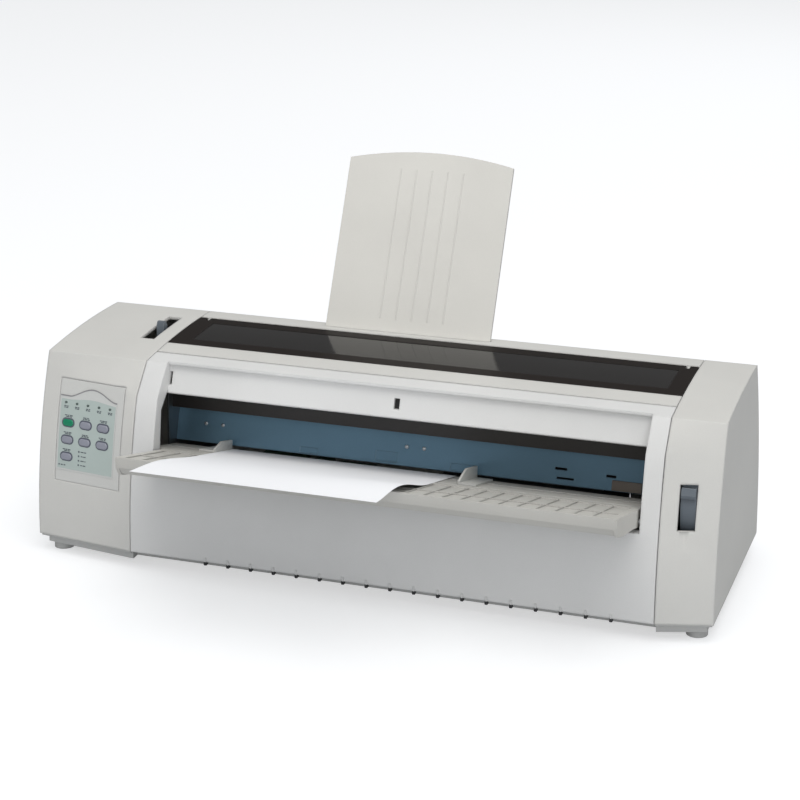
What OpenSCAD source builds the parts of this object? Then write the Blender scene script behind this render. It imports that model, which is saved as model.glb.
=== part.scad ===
// Wide carriage dot matrix printer with a drop front, a fold-up manual sheet tray,
// a smoked top cover and a lift-off paper support.

/* [Body] */
// Width over both end casings
body_w = 610; // [590:1:640]
// Depth at the lower edge of the casings
body_d = 208; // [204:1:230]
// Height of the casings from their lower edge to the crown of the top
casing_h = 170; // [166:1:180]
// Wall of the moulded casings and covers
wall = 3; // [2.6:0.1:3.4]
// How far the front leans back between its lower edge and the crease
front_lean = 31.5; // [28:0.5:35]
// How far the back leans forward between its lower edge and the top
back_lean = 38; // [34:0.5:42]
// How far the front cover stands forward of the outer ends
bow = 13; // [9:0.5:16]
// Fall of the top from its crown to the crease
crown = 7.6; // [6:0.1:9]
// Width of the left end casing
left_w = 96; // [90:1:104]
// Width of the right end casing
right_w = 46; // [44:1:54]
// Height of the plinth under the casings
plinth_h = 9; // [8:0.5:12]
// Height of the rubber feet
foot_h = 7; // [5:0.5:9]

/* [Front opening] */
// Width of the opening in the front cover
opening_w = 432; // [410:1:438]
// Height of the opening's sill above the casings' lower edge
sill_h = 74; // [70:0.5:76]
// Width of the strip on top of the front cover
top_strip = 20; // [18:0.5:21]

/* [Manual tray] */
// Length of the tray from its hinge to its front edge
tray_len = 87; // [80:0.5:88]
// Slope of the open tray, up to its front edge
tray_slope = 15; // [12:0.5:17]
// Thickness of the tray's plate
tray_t = 2.4; // [2:0.1:3]
// Number of ribs on the tray
tray_ribs = 27; // [20:1:32]

/* [Sheet] */
// Width of the loaded sheet
sheet_w = 210; // [148:1:216]
// Length of the sheet that shows in front of the guide plate
sheet_len = 216; // [180:1:230]

/* [Top cover] */
// Front edge of the smoked cover, from the outer front corner
cover_y = 74.5; // [72:0.5:78]
// Depth of the smoked cover
cover_d = 72.5; // [68:0.5:74]
// Border of the smoked cover round its window
cover_rim = 13; // [10:0.5:15]

/* [Paper support] */
// Width of the paper support
support_w = 157; // [140:1:220]
// Height of the paper support's sides above the top
support_h = 160; // [120:1:180]
// Rise of its arched top edge
support_arch = 9; // [6:0.5:12]
// Lean of the paper support from upright
support_lean = 26; // [20:1:28]
// Thickness of the paper support
support_t = 3; // [2.5:0.1:3.5]

/* [Print mechanism] */
// Radius of the platen roller
platen_r = 16; // [14:0.5:17]
// Radius of the platen shaft
shaft_r = 5; // [4:0.25:6]
// Radius of the carriage guide rod
rod_r = 6; // [5:0.25:6.5]
// Radius of the carriage belt's pulleys
pulley_r = 8; // [6:0.5:9]
// Radial running clearance of shafts in their bores
run = 0.05; // [0.02:0.01:0.08]
// Teeth on the platen gear and on the tractor gear
platen_teeth = 48; // [44:2:50]
// Teeth on the feed motor's pinion
pinion_teeth = 16; // [14:1:18]
// Gear module
gear_module = 1; // [0.96:0.01:1.02]

/* [Hidden] */
$fn = 64;
gap = 0.4;          // clearance between neighbouring moulded pieces
far = 300;          // reach of the cutting solids
z0 = foot_h + plinth_h;
crest_z = z0 + casing_h;
crease_z = crest_z - crown;
half_w = body_w / 2;
seam_l = -half_w + left_w;
seam_r = half_w - right_w;
seam_mid = (seam_l + seam_r) / 2;
crest_y = 145;
facet_slope = 1.17;
steps = 12;

// Height of the crowned top at a depth y
function top_at(y) = crest_z - crown * pow((y - crest_y) / (crest_y - front_lean), 2);
// Depth of the end profile's front at a height z
function front_at(z) = front_lean * pow((z - z0) / (crease_z - z0), 2);
// Depth of the end profile's back at a height z
function back_at(z) = body_d - back_lean * pow((z - z0) / (crest_z - z0), 2);
// Height of the open tray's plane at a depth y
function tray_plane(y) = hinge_z + hinge_drop / cos(tray_slope) - (y - hinge_y) * tan(tray_slope);

// The manual tray's hinge, inside the opening's sill
hinge_y = 1.5;
hinge_z = z0 + sill_h + 7.5;
hinge_drop = 10.6;
pin_r = 2.5;

// The print mechanism's axes, as depth and height
platen_y = 112;
platen_z = crest_z - 86;
rod_y = 92;
rod_z = crest_z - 40;
belt_y = 128;
gear_x = seam_r - 1;
pitch_platen = gear_module * platen_teeth / 2;
pitch_pinion = gear_module * pinion_teeth / 2;
tractor_angle = 14.5;
pinion_angle = -40;
tractor_y = platen_y + 2 * pitch_platen * cos(tractor_angle);
tractor_z = platen_z + 2 * pitch_platen * sin(tractor_angle);
pinion_y = platen_y + (pitch_platen + pitch_pinion) * cos(pinion_angle);
pinion_z = platen_z + (pitch_platen + pitch_pinion) * sin(pinion_angle);

// Side frames stand just inside the seams
frame_t = 1.5;
frame_l = seam_l + 6;
frame_r = seam_r - 6;
floor_z = foot_h + 3;
frame_top = crest_z - 14;
frame_front = 58;
cover_pin_y = cover_y + cover_d - 3.2;
cover_pin_z = top_at(cover_pin_y) - 4.4;
cover_pin_r = 1.5;

// The part's depth, used to centre it over its origin
sheet_front = hinge_y + 69 - sheet_len * cos(tray_slope);
support_y = cover_y + cover_d + 13;
support_back = support_y + (support_h + support_arch) * sin(support_lean)
             + support_t * cos(support_lean);
shift_y = -(sheet_front + support_back) / 2;

// ---- shared shapes ----

// Centres the machine over the part's origin
module place() translate([0, shift_y, 0]) children();

// Extrudes an outline drawn as depth and height from x0 to x1
module along_x(x0, x1)
    translate([x0, 0, 0]) rotate([90, 0, 90]) linear_extrude(x1 - x0) children();

// A round bar across the machine
module bar_x(x0, x1, y, z, r)
    translate([x0, y, z]) rotate([0, 90, 0]) cylinder(r = r, h = x1 - x0);

// A block between two corners
module block(low, high) translate(low) cube(high - low);

// Everything behind the leaning front, moved in by an inset
module behind_front(inset, low)
    polygon(concat(
        [for (i = [0 : steps]) let (z = low + i * (crease_z + 20 - low) / steps)
            [front_at(max(z, z0)) + inset, z]],
        [[2 * far, crease_z + 20], [2 * far, low]]));

// Everything under the facet and the crowned top and ahead of the back
module under_top(inset, low)
    polygon(concat(
        [[-far, low], [-far, crease_z - (front_lean + far) * facet_slope - inset * 1.5],
         [front_lean + inset * 0.4, crease_z - inset]],
        [for (i = [1 : steps]) let (y = front_lean + i * (body_d - back_lean - front_lean) / steps)
            [y - inset, top_at(y) - inset]],
        [for (i = [1 : steps]) let (z = crest_z - i * (crest_z - low) / steps)
            [back_at(max(z, z0)) - inset, z]]));

// A band that follows the crowned top between two depths and two levels under it
module top_band(y0, y1, upper, lower)
    polygon(concat(
        [for (i = [0 : steps]) let (y = y0 + i * (y1 - y0) / steps) [y, top_at(y) - upper]],
        [for (i = [steps : -1 : 0]) let (y = y0 + i * (y1 - y0) / steps) [y, top_at(y) - lower]]));

// A flat bar with round ends, lying along X
module stadium(length, width) {
    square([length - width, width], center = true);
    for (side = [-1, 1]) translate([side * (length - width) / 2, 0]) circle(d = width);
}

// ---- casings ----

sweep_l = atan(bow / left_w);
sweep_r = atan(bow / right_w);

// The filled form of an end casing whose outer end is at -X
module end_form(width, sweep, inset, low)
    intersection() {
        translate([-half_w, 0, 0]) rotate([0, 0, -sweep])
            along_x(-body_d, width + 40) behind_front(inset, low);
        along_x(-half_w + inset, -half_w + width - gap / 2 + inset) under_top(inset, low);
    }

// A hollow end casing, open below and at the seam
module end_shell(width, sweep)
    difference() {
        end_form(width, sweep, 0, z0);
        end_form(width, sweep, wall, z0 - 5);
    }

// The operator panel's window in the left casing
panel_x = -half_w + 17;
panel_w = 67;
panel_z = z0 + 53;
panel_h = 89;
panel_tilt = 12;
panel_mid_z = z0 + 92;

// Depth of the left casing's front at a place on it
function left_front(x, z) = front_at(z) - bow * (x + half_w) / left_w;

module panel_window(clear)
    block([panel_x + clear, -40, panel_z + clear],
          [panel_x + panel_w - clear, 26, panel_z + panel_h - clear]);

// The thickness lever's slot on top of the left casing
lever_slot_x = seam_l - 28;
lever_slot_w = 13;
lever_slot_y = cover_y + 4;
lever_slot_d = 62;
lever_y = lever_slot_y + lever_slot_d / 2;
lever_z = crest_z - 36;

module left_casing() color("gainsboro") place()
    difference() {
        end_shell(left_w, sweep_l);
        panel_window(0);
        block([lever_slot_x, lever_slot_y, crest_z - 12],
              [lever_slot_x + lever_slot_w, lever_slot_y + lever_slot_d, crest_z + 5]);
    }

// The tractor lever's slot in the front of the right casing
select_x = seam_r + 13.5;
select_w = 14;
select_z = z0 + 78;
select_h = 37;
select_pivot_y = 46;
select_pivot_z = z0 + 92;
select_reach = 38.9;
scoop_lift = 4.8;

module right_casing() color("gainsboro") place()
    difference() {
        mirror([1, 0, 0]) end_shell(right_w, sweep_r);
        block([select_x, -40, select_z], [select_x + select_w, 30, select_z + select_h]);
        // Finger scoop under the slot
        translate([select_x + select_w / 2, left_front(-half_w, select_z) - bow * 0.55 - scoop_lift,
                   select_z])
            rotate([-3, 0, 0]) translate([0, 0, -26])
                cylinder(r1 = 1, r2 = select_w / 2 - 0.5, h = 26);
    }

module top_bridge() color("gainsboro") place() {
    front_y = front_lean + top_strip + 1.6;
    along_x(seam_l + gap, seam_r - gap) top_band(front_y + gap, cover_y - gap, 0, wall);
    for (x = [frame_l - 4, frame_r - 4])
        along_x(x, x + 9)
            polygon([for (y = [front_y + 6, cover_y - 4]) [y, top_at(y) - wall / 2],
                     [cover_y - 4, frame_top], [front_y + 6, frame_top]]);
}

rear_y = cover_y + cover_d + 2.6;
support_x = -11;
socket_depth = 22;
socket_wall = 2.2;
port_x = seam_l + 40;
// Place, width and height of each interface connector
ports = [[0, 46, 11], [56, 16, 11], [80, 34, 9]];
inlet_x = seam_r - 52;
switch_x = seam_r - 92;
rear_part_z = z0 + 14;

// Places a child in the paper support's leaning plane, at the top of the rear cover
module support_plane()
    translate([support_x, support_y, top_at(support_y)]) rotate([-support_lean, 0, 0]) children();

module rear_cover() color("gainsboro") place() {
    difference() {
        union() {
            difference() {
                intersection() {
                    along_x(seam_l + gap, seam_r - gap) under_top(0, z0);
                    block([seam_l - 5, rear_y, 0], [seam_r + 5, far, far]);
                }
                along_x(seam_l - 5, seam_r + 5) under_top(wall, z0 - 5);
            }
            // Socket that holds the paper support
            difference() {
                support_plane() block(
                    [-support_w / 2 - 4, -socket_wall - gap, -socket_depth - socket_wall],
                    [support_w / 2 + 4, support_t + socket_wall + gap, 3]);
                along_x(-far * 2, far * 2) polygon([[0, 2 * crest_z], [0, crest_z],
                    for (i = [0 : steps]) let (y = rear_y + i * 3) [y, top_at(y)],
                    [far, crest_z], [far, 2 * crest_z]]);
            }
            // Ears that hold the smoked cover's hinge pins
            for (x = [seam_l + 8, seam_r - 11])
                difference() {
                    along_x(x, x + 3) {
                        translate([cover_pin_y, cover_pin_z]) circle(r = 2.6);
                        polygon([[cover_pin_y, cover_pin_z - 2.6], [rear_y + 4, cover_pin_z - 8],
                                 [rear_y + 9, top_at(rear_y + 9) - wall / 2],
                                 [rear_y + 1, top_at(rear_y + 1) - wall / 2],
                                 [cover_pin_y, cover_pin_z + 2.6]]);
                    }
                    bar_x(x - 1, x + 4, cover_pin_y, cover_pin_z, cover_pin_r + run);
                }
        }
        // Slot for the paper support
        support_plane() block([-support_w / 2 - gap, -gap, -socket_depth],
                              [support_w / 2 + gap, support_t + gap, 20]);
        // Ventilation slots in the back
        for (i = [0 : 23])
            block([seam_mid - 46 + i * 8, back_at(crest_z) - 12, z0 + 96],
                  [seam_mid - 42 + i * 8, body_d + 5, z0 + 126]);
        // Connector openings
        for (port = ports)
            block([port_x + port[0], body_d - 12, rear_part_z - gap],
                  [port_x + port[0] + port[1], body_d + 5, rear_part_z + port[2] + gap]);
        block([inlet_x - gap, body_d - 30, rear_part_z - gap],
              [inlet_x + 30 + gap, body_d + 5, rear_part_z + 24 + gap]);
        block([switch_x - gap, body_d - 30, rear_part_z - gap],
              [switch_x + 22 + gap, body_d + 5, rear_part_z + 24 + gap]);
    }
}

// ---- base ----

foot_r = 9;
foot_in = 16;
pan_front = 2;

// Outline of the base in plan, moved in by an inset
module base_plan(inset)
    polygon([[-half_w + inset, inset], [seam_l - gap, inset - bow], [seam_l - gap, pan_front],
             [seam_r + gap, pan_front], [seam_r + gap, inset - bow], [half_w - inset, inset],
             [half_w - inset, body_d - inset], [-half_w + inset, body_d - inset]]);

front_pin_y = 4;
front_pin_z = z0 + 8;
hinge_xs = [seam_l + 14, seam_r - 20];

module base_pan() color("silver") place() {
    difference() {
        union() {
            translate([0, 0, foot_h]) linear_extrude(plinth_h) base_plan(6);
            translate([0, 0, z0 - 2]) linear_extrude(2) base_plan(1.4);
        }
        translate([0, 0, floor_z]) linear_extrude(plinth_h)
            polygon([[-half_w + 12, 16], [seam_l + 16, 16], [seam_l + 16, 14],
                     [seam_r - 16, 14], [seam_r - 16, 16], [half_w - 12, 16],
                     [half_w - 12, body_d - 12], [-half_w + 12, body_d - 12]]);
    }
    // Ears for the front cover's hinge
    for (x = hinge_xs)
        difference() {
            block([x, 0, z0 - 1], [x + 4, 9, front_pin_z + 4.5]);
            bar_x(x - 1, x + 5, front_pin_y, front_pin_z, pin_r + run);
        }
}

module feet() color("dimgray") place()
    for (x = [-half_w + foot_in, half_w - foot_in], y = [foot_in, body_d - foot_in - 2])
        translate([x, y, 0]) cylinder(r = foot_r, h = foot_h);

// ---- front cover ----

opening_l = seam_l + 20;
opening_r = opening_l + opening_w;
sill_z = z0 + sill_h;
strip_y = front_lean + 3.5;
rib_pitch = 21.2;
beam_low = [strip_y - 5, crease_z - 26.6];
beam_high = [strip_y + 3, crease_z - 5.7];
latch_x = seam_mid - 5;

// The filled form of the front cover
module cover_form(inset, low, spare)
    intersection() {
        translate([0, -bow, 0]) along_x(seam_l + gap - spare, seam_r - gap + spare)
            behind_front(inset, low);
        along_x(seam_l + gap - spare, seam_r - gap + spare) under_top(inset, low);
    }

// A stiffening wall along one side of the front cover
module cover_wall(x, outline) intersection() {
    cover_form(0, z0, 0);
    along_x(x, x + wall) polygon(outline);
}

module front_cover() color("lightgray") place()
    difference() {
        union() {
            difference() {
                cover_form(0, z0, 0);
                cover_form(wall, z0 - 5, 5);
                block([-far * 2, front_lean + top_strip, 0], [far * 2, far * 2, far * 2]);
                block([opening_l, -far, sill_z], [opening_r, strip_y, far]);
            }
            // Reveals at the opening's sides and walls along the seams
            for (x = [opening_l - wall, opening_r])
                cover_wall(x, [[-40, sill_z - 3], [9, sill_z - 3], [16, sill_z + 50],
                               [strip_y + 6, sill_z + 74], [strip_y + 6, far], [-40, far]]);
            for (x = [seam_l + gap, seam_r - gap - wall])
                cover_wall(x, [[-40, z0], [-5, z0], [4, sill_z], [front_lean + 8, z0 + 146],
                               [front_lean + 8, far], [-40, far]]);
            // Shelf along the sill
            intersection() {
                cover_form(0, z0, 0);
                block([opening_l - wall, -40, sill_z - wall], [opening_r + wall, 2, sill_z]);
            }
            // Beam set back behind the tray's pocket
            along_x(opening_l - 1, opening_r + 1)
                polygon([beam_low, beam_high, [beam_high[0], crease_z - 1],
                         [beam_high[0] + wall, crease_z - 1], beam_high + [wall, -0.6],
                         beam_low + [wall + 0.4, 0.8], beam_low + [7, -1.4],
                         beam_low + [6.6, -3]]);
            // Arms to the hinge at the bottom
            for (x = hinge_xs) {
                bar_x(x + 4.3, x + 9.3, front_pin_y, front_pin_z, 4.5);
                block([x + 4.3, -bow + 1.4, front_pin_z - 3.4],
                      [x + 9.3, front_pin_y, front_pin_z + 3.4]);
            }
            // Row of small ribs along the lower edge
            for (i = [0 : 17])
                block([-138 + i * rib_pitch, -bow - 0.8, z0 - 1.6],
                      [-136.4 + i * rib_pitch, -bow + 4, z0 + 4]);
        }
        for (x = hinge_xs) bar_x(x, x + 12, front_pin_y, front_pin_z, pin_r + run);
        for (x = [opening_l - wall - 1, opening_r - 1])
            bar_x(x, x + wall + 2, hinge_y, hinge_z, pin_r + 0.02);
        // Latch slot in the beam
        block([latch_x, 20, crease_z - 20], [latch_x + 5, 50, crease_z - 11]);
        block([opening_l + 0.4, 20, crease_z - 20], [opening_l + 2.8, 50, crease_z - 9]);
    }

module front_hinge_pins() color("silver") place()
    for (x = hinge_xs) bar_x(x - 0.5, x + 9.8, front_pin_y, front_pin_z, pin_r);

// ---- manual tray ----

tray_l = opening_l + 2;
tray_r = opening_r - 2;
tray_w = tray_r - tray_l;

// A point of the open tray: along it from the hinge, and above the hinge
function tray_at(along, above) =
    [hinge_y - along * cos(tray_slope) + above * sin(tray_slope),
     hinge_z + along * sin(tray_slope) + above * cos(tray_slope)];
function tray_points(list) = [for (p = list) tray_at(p[0], p[1])];

tray_top = hinge_drop;
tray_under = hinge_drop - tray_t;
cell_w = (tray_w - 12) / tray_ribs;

module manual_tray() color("gainsboro") place()
    difference() {
        union() {
            along_x(tray_l, tray_r) polygon(tray_points([[-8, tray_top], [tray_len, tray_top],
                [tray_len - 3.4, 1.6], [tray_len - 10, -3.6], [tray_len - 22, -4.6],
                [tray_len - 22, -2.6], [tray_len - 11, -1.4], [tray_len - 5.6, 2.6],
                [tray_len - 3, tray_under], [-8, tray_under]]));
            for (x = [tray_l, tray_r - 3])
                along_x(x, x + 3) {
                    polygon(tray_points([[-4, tray_under], [-4, 0], [0, -4.8], [18, -4],
                        [tray_len - 24, -5.4], [tray_len - 10, -4.6], [tray_len - 3.4, 1.6],
                        [tray_len, tray_top], [-4, tray_top]]));
                    translate([hinge_y, hinge_z]) circle(r = 4.8);
                }
        }
        // Shallow cells between the ribs, in a front and a rear row
        for (i = [0 : tray_ribs - 1], row = [[tray_len - 36, tray_len - 5], [4, tray_len - 39]])
            along_x(tray_l + 6.8 + i * cell_w, tray_l + 6 + (i + 1) * cell_w)
                polygon(tray_points([[row[0], tray_top - 1], [row[1], tray_top - 1],
                                     [row[1], tray_top + 1], [row[0], tray_top + 1]]));
        for (x = [tray_l - 1, tray_r - 4])
            bar_x(x, x + 5, hinge_y, hinge_z, pin_r + run);
    }

module tray_hinge_pins() color("silver") place() {
    bar_x(opening_l - wall, tray_l + 3, hinge_y, hinge_z, pin_r);
    bar_x(tray_r - 3, opening_r + wall, hinge_y, hinge_z, pin_r);
}

// ---- paper path ----

sheet_x = -145;
sheet_t = 0.3;
sheet_droop = 2.5;
tray_front = hinge_y - tray_len * cos(tray_slope) + hinge_drop * sin(tray_slope);

// A point above or below the sheet's plane at a depth y
function path_at(y, above) = [y, tray_plane(y) + above];
// How far the overhanging sheet has sagged at a depth y
function droop_at(y) = sheet_droop * pow(max(tray_front - y, 0) / (tray_front - sheet_front), 2);

module paper_sheet() color("white") place()
    along_x(sheet_x, sheet_x + sheet_w)
        polygon(concat(
            [path_at(hinge_y + 69, 0.1)],
            [for (i = [0 : steps]) let (y = tray_front + i * (sheet_front - tray_front) / steps)
                path_at(y, 0.1 - droop_at(y))],
            [for (i = [steps : -1 : 0]) let (y = tray_front + i * (sheet_front - tray_front) / steps)
                path_at(y, 0.1 + sheet_t - droop_at(y))],
            [path_at(hinge_y + 69, 0.1 + sheet_t)]));

deck_front = hinge_y + 15.5;
deck_back = hinge_y + 70;
deck_t = 2.4;
deck_drop = 0.3;
rail_y = hinge_y + 42;

module paper_deck() color("dimgray") place()
    difference() {
        along_x(frame_l + frame_t, frame_r) polygon([path_at(deck_front, -deck_drop),
            path_at(deck_back, -deck_drop), path_at(deck_back, -deck_drop - deck_t - 6),
            path_at(deck_back - deck_t, -deck_drop - deck_t - 6),
            path_at(deck_back - deck_t, -deck_drop - deck_t),
            path_at(deck_front, -deck_drop - deck_t)]);
        along_x(frame_l + 8, frame_r - 8) polygon([path_at(rail_y, 1), path_at(rail_y + 5, 1),
            path_at(rail_y + 5, -9), path_at(rail_y, -9)]);
    }

// A side guide whose fence stands at x, with its foot on one side of it
module side_guide(x, foot, y0, y1, rise) {
    along_x(x, x + 2) polygon([path_at(y0, -deck_drop + 0.05), path_at(y0, 3),
        path_at(y0 + (y1 - y0) * 0.4, rise), path_at(y1, rise), path_at(y1, -deck_drop + 0.05)]);
    along_x(min(x, x + foot), max(x + 2, x + foot)) polygon([path_at(y0, -deck_drop + 0.05),
        path_at(y0, 1.6), path_at(y1, 1.6), path_at(y1, -deck_drop + 0.05)]);
    along_x(min(x, x + foot), max(x + 2, x + foot)) {
        polygon([path_at(rail_y + 0.5, 0), path_at(rail_y + 4.5, 0),
            path_at(rail_y + 4.5, -deck_t - 1.8), path_at(rail_y + 0.5, -deck_t - 1.8)]);
        polygon([path_at(rail_y - 3, -deck_drop - deck_t - 0.3),
            path_at(rail_y + 8, -deck_drop - deck_t - 0.3),
            path_at(rail_y + 8, -deck_drop - deck_t - 1.8),
            path_at(rail_y - 3, -deck_drop - deck_t - 1.8)]);
    }
}

right_guide_x = 82;
module left_paper_guide() color("gray") place()
    side_guide(sheet_x - 2.4, -14, hinge_y + 31, hinge_y + 68, 9);
module right_paper_guide() color("gray") place()
    side_guide(right_guide_x, 16, deck_front + 1, hinge_y + 68, 12);

plate_low = [hinge_y + 71, tray_plane(hinge_y + 71) + 3.4];
plate_high = [platen_y - 30, platen_z + 24];

module upper_guide_plate() color("slategray") place()
    difference() {
        along_x(frame_l + frame_t, frame_r) polygon([plate_low, plate_high,
            plate_high + [1.4, 0], plate_low + [1.4, 0]]);
        // Shallow pads, then narrow sensor slots, then rivet holes
        for (pad = [[-82, 17, 1, 6], [-11, 20, 2, 10.5], [58, 23, 1, 7]])
            plate_cut(pad, 0.5);
        for (slot = [[151, 10.5, 12, 14], [196, 8.5, 10.5, 12.5], [153, 15, 4.6, 6.2]])
            plate_cut(slot, 3);
        for (x = [-174, -157.5, 17, 33])
            translate([x, plate_low[0] - 4, plate_high[1] - 15]) rotate([-90, 0, 0])
                cylinder(r = 1.1, h = 14);
    }

// Depth of the plate's front face at a height over its lower edge
function plate_face(rise) = plate_low[0]
    + rise * (plate_high[0] - plate_low[0]) / (plate_high[1] - plate_low[1]);

// Cuts the plate's front to a depth; a cut is its place, width, lower and upper edge
module plate_cut(cut, depth) along_x(cut[0], cut[0] + cut[1])
    polygon([for (end = [[cut[2], -2], [cut[3], -2], [cut[3], depth], [cut[2], depth]])
        [plate_face(end[0]) + end[1], plate_low[1] + end[0]]]);

module tear_bar() color("black") place()
    along_x(frame_l + frame_t, frame_r)
        polygon([[66, plate_high[1] + 2], [66, crease_z - 20], [78, crease_z - 14],
                 [78, crease_z - 16.4], [68.4, crease_z - 21.6], [68.4, plate_high[1] + 2]]);

// ---- top cover ----

lip = 7;
window_y0 = cover_y + cover_rim;
window_y1 = cover_y + cover_d - cover_rim;
window_x0 = seam_l + cover_rim + 6;
window_x1 = seam_r - cover_rim - 2;

module access_cover() color("dimgray") place()
    difference() {
        union() {
            along_x(seam_l + gap, seam_r - gap) {
                top_band(cover_y, cover_y + cover_d, 0, wall);
                top_band(cover_y, cover_y + 2, 1, lip);
            }
            for (x = [seam_l + 11.4, seam_r - 16.4])
                along_x(x, x + 5) {
                    translate([cover_pin_y, cover_pin_z]) circle(r = 3);
                    translate([cover_pin_y - 2, cover_pin_z]) square([4, 3]);
                }
        }
        along_x(window_x0, window_x1) top_band(window_y0, window_y1, -1, 1.9);
        along_x(window_x0 + 4, window_x1 - 4) top_band(window_y0 + 4, window_y1 - 4, -1, wall + 1);
        bar_x(seam_l + 10, seam_l + 20, cover_pin_y, cover_pin_z, cover_pin_r + run);
        bar_x(seam_r - 20, seam_r - 10, cover_pin_y, cover_pin_z, cover_pin_r + run);
        // Room for the hinge ears
        for (x = [seam_l + 7.6, seam_r - 11.4])
            block([x, cover_pin_y - 3.4, crest_z - 12], [x + 3.8, cover_pin_y + 9, crest_z + 1]);
    }

module cover_window() color("darkslategray") place()
    along_x(window_x0 + 0.3, window_x1 - 0.3) top_band(window_y0 + 0.3, window_y1 - 0.3, 0.4, 1.85);

module cover_hinge_pins() color("silver") place() {
    bar_x(seam_l + 8, seam_l + 16, cover_pin_y, cover_pin_z, cover_pin_r);
    bar_x(seam_r - 16, seam_r - 8, cover_pin_y, cover_pin_z, cover_pin_r);
}

module paper_support() color("gainsboro") place()
    support_plane() {
        block([-support_w / 2, 0, -socket_depth + 0.2], [support_w / 2, support_t, support_h - 2]);
        // Arched top edge
        intersection() {
            arch_r = (support_w * support_w / 4 + support_arch * support_arch) / (2 * support_arch);
            translate([0, 0, support_h + support_arch - arch_r]) rotate([-90, 0, 0])
                cylinder(r = arch_r, h = support_t, $fn = 200);
            block([-support_w / 2, 0, support_h - 3],
                  [support_w / 2, support_t, support_h + support_arch + 1]);
        }
        // Raised lines on its face
        for (i = [0 : 4]) block([-28 + i * 15, -0.35, 12], [-27 + i * 15, 0.1, support_h - 8]);
    }

// ---- frames and shafts ----

bush_r = 9;
tractor_rod_r = 4;
tractor_rod_z = tractor_z - 17;
motor_boss_r = 6;

module frame_holes() {
    for (p = [[platen_y, platen_z, bush_r], [tractor_y, tractor_z, shaft_r + run],
              [tractor_y, tractor_rod_z, tractor_rod_r + run], [rod_y, rod_z, rod_r + run]])
        translate([p[0], p[1]]) circle(r = p[2]);
}

module frame_outline()
    polygon([[frame_front, floor_z], [body_d - 12, floor_z], [body_d - 20, z0 + 84],
             [body_d - back_lean - 3, frame_top], [frame_front, frame_top]]);

module left_frame() color("silver") place() {
    along_x(frame_l, frame_l + frame_t) difference() {
        frame_outline();
        frame_holes();
    }
    // Bracket and stud of the idler pulley
    block([frame_l + frame_t - 0.2, belt_y - 8, rod_z - 16], [frame_l + 30, belt_y + 8, rod_z - 14]);
    translate([idler_x, belt_y, rod_z - 15]) cylinder(r = pin_r, h = 22);
    // Stud of the paper thickness lever
    bar_x(lever_slot_x + 1, frame_l + 0.2, lever_y, lever_z, 4);
}

module right_frame() color("silver") place() {
    along_x(frame_r, frame_r + frame_t) difference() {
        union() {
            frame_outline();
            translate([select_pivot_y - 10, select_pivot_z - 12]) square([24, 24]);
        }
        frame_holes();
        translate([pinion_y, pinion_z]) circle(r = motor_boss_r + 0.2);
    }
    // Bracket of the carriage motor
    difference() {
        block([drive_x - 20, belt_y - 18, rod_z - 10], [frame_r + 0.2, belt_y + 18, rod_z - 8]);
        translate([drive_x, belt_y, rod_z - 12]) cylinder(r = motor_boss_r, h = 8);
    }
    // Stud of the tractor lever
    bar_x(frame_r + frame_t - 0.2, select_x + select_w - 1, select_pivot_y, select_pivot_z, 4);
}

roller_x0 = frame_l + 20;
roller_x1 = frame_r - 38;

module platen_shaft() color("silver") place()
    bar_x(frame_l - 8, gear_x + 9, platen_y, platen_z, shaft_r);
module platen_roller() color("black") place()
    difference() {
        bar_x(roller_x0, roller_x1, platen_y, platen_z, platen_r);
        bar_x(roller_x0 - 1, roller_x1 + 1, platen_y, platen_z, shaft_r + 0.01);
    }
module platen_bushes() color("white") place()
    for (x = [frame_l, frame_r])
        difference() {
            union() {
                bar_x(x - 1, x + frame_t + 1, platen_y, platen_z, bush_r - 0.02);
                bar_x(x + (x < 0 ? frame_t : -2), x + (x < 0 ? frame_t + 2 : 0),
                      platen_y, platen_z, bush_r + 2);
            }
            bar_x(x - 5, x + 8, platen_y, platen_z, shaft_r + run);
        }

// A spur gear in the side plane, with one tooth at an angle
module gear(teeth, tooth_angle, bore) {
    pitch_r = gear_module * teeth / 2;
    root_r = pitch_r - 1.3 * gear_module;
    tip_r = pitch_r + 0.8 * gear_module;
    half_root = 0.27 * 360 / teeth;
    half_tip = 0.11 * 360 / teeth;
    difference() {
        union() {
            circle(r = root_r);
            for (i = [0 : teeth - 1]) rotate(tooth_angle + i * 360 / teeth)
                polygon([[(root_r - 1) * cos(half_root), -(root_r - 1) * sin(half_root)],
                         [root_r * cos(half_root), -root_r * sin(half_root)],
                         [tip_r * cos(half_tip), -tip_r * sin(half_tip)],
                         [tip_r * cos(half_tip), tip_r * sin(half_tip)],
                         [root_r * cos(half_root), root_r * sin(half_root)],
                         [(root_r - 1) * cos(half_root), (root_r - 1) * sin(half_root)]]);
        }
        circle(r = bore);
    }
}

// Angle of the platen gear's tooth next to the tractor gear, off their line of centres
pitch_angle = 360 / platen_teeth;
mesh_turns = round((tractor_angle - pinion_angle) / pitch_angle);
mesh_off = pinion_angle + mesh_turns * pitch_angle - tractor_angle;

module gear_at(y, z, teeth, tooth_angle, bore) along_x(gear_x, gear_x + 6)
    translate([y, z]) gear(teeth, tooth_angle, bore);

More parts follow.
